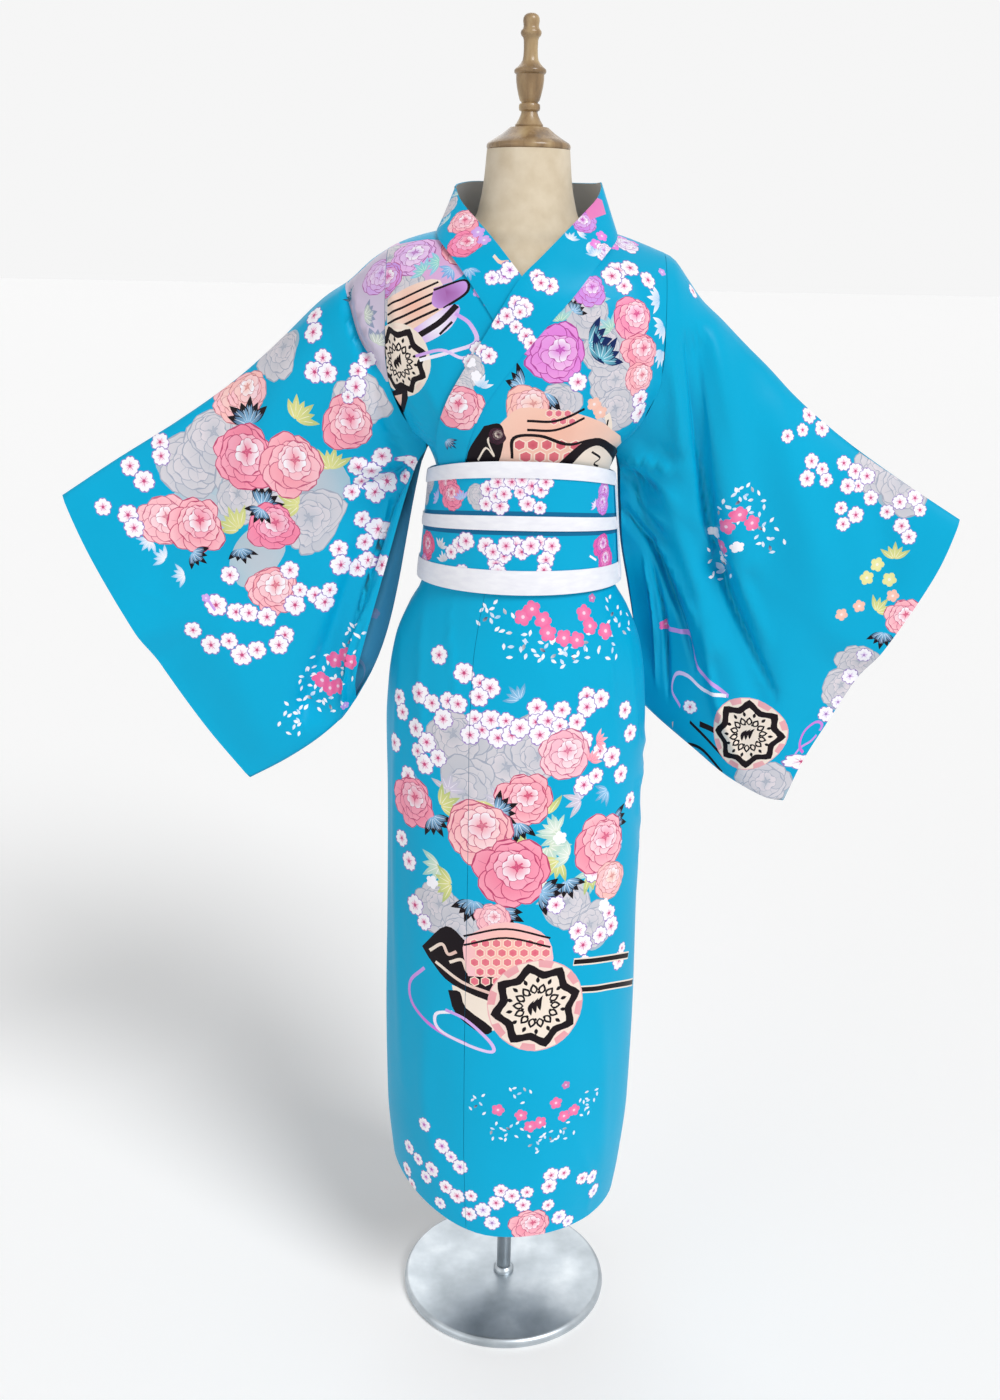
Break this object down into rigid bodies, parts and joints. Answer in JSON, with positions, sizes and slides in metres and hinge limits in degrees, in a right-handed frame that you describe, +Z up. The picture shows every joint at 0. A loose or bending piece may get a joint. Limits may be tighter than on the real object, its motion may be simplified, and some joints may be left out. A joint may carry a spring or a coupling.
{
  "type": "kimono on dress form",
  "caption": "Printed satin kimono with a narrow stiff belt and held-out bag sleeves, worn by a limbless dress form with a turned finial on a disc stand.",
  "frame": {"origin": "centre of the disc stand's underside, on the floor", "axes": "+Z up the pole, -Y towards the front of the garment, +X towards the wearer's left"},
  "size_m": [1.139, 0.3094, 1.7496],
  "materials": {
    "printed_satin": "satin",
    "white_trim": "matte",
    "form_jersey": "matte",
    "turned_wood": "satin",
    "chrome": "polished"
  },
  "bodies": {
    "root": {"base_disc": "chrome", "base_flange": "chrome", "pole": "chrome", "form_torso": "form_jersey", "neck_cap": "turned_wood", "finial": "turned_wood", "back_left": "printed_satin", "back_right": "printed_satin", "front_left": "printed_satin", "front_right": "printed_satin", "okumi_left": "printed_satin", "okumi_right": "printed_satin", "collar_left": "printed_satin", "collar_right": "printed_satin", "sleeve_left": "printed_satin", "sleeve_right": "printed_satin", "obi_belt": "printed_satin", "obi_band_bottom": "white_trim", "obi_ribbon": "white_trim", "obi_band_top": "white_trim", "obi_binding": "white_trim"}
  },
  "joints": []
}
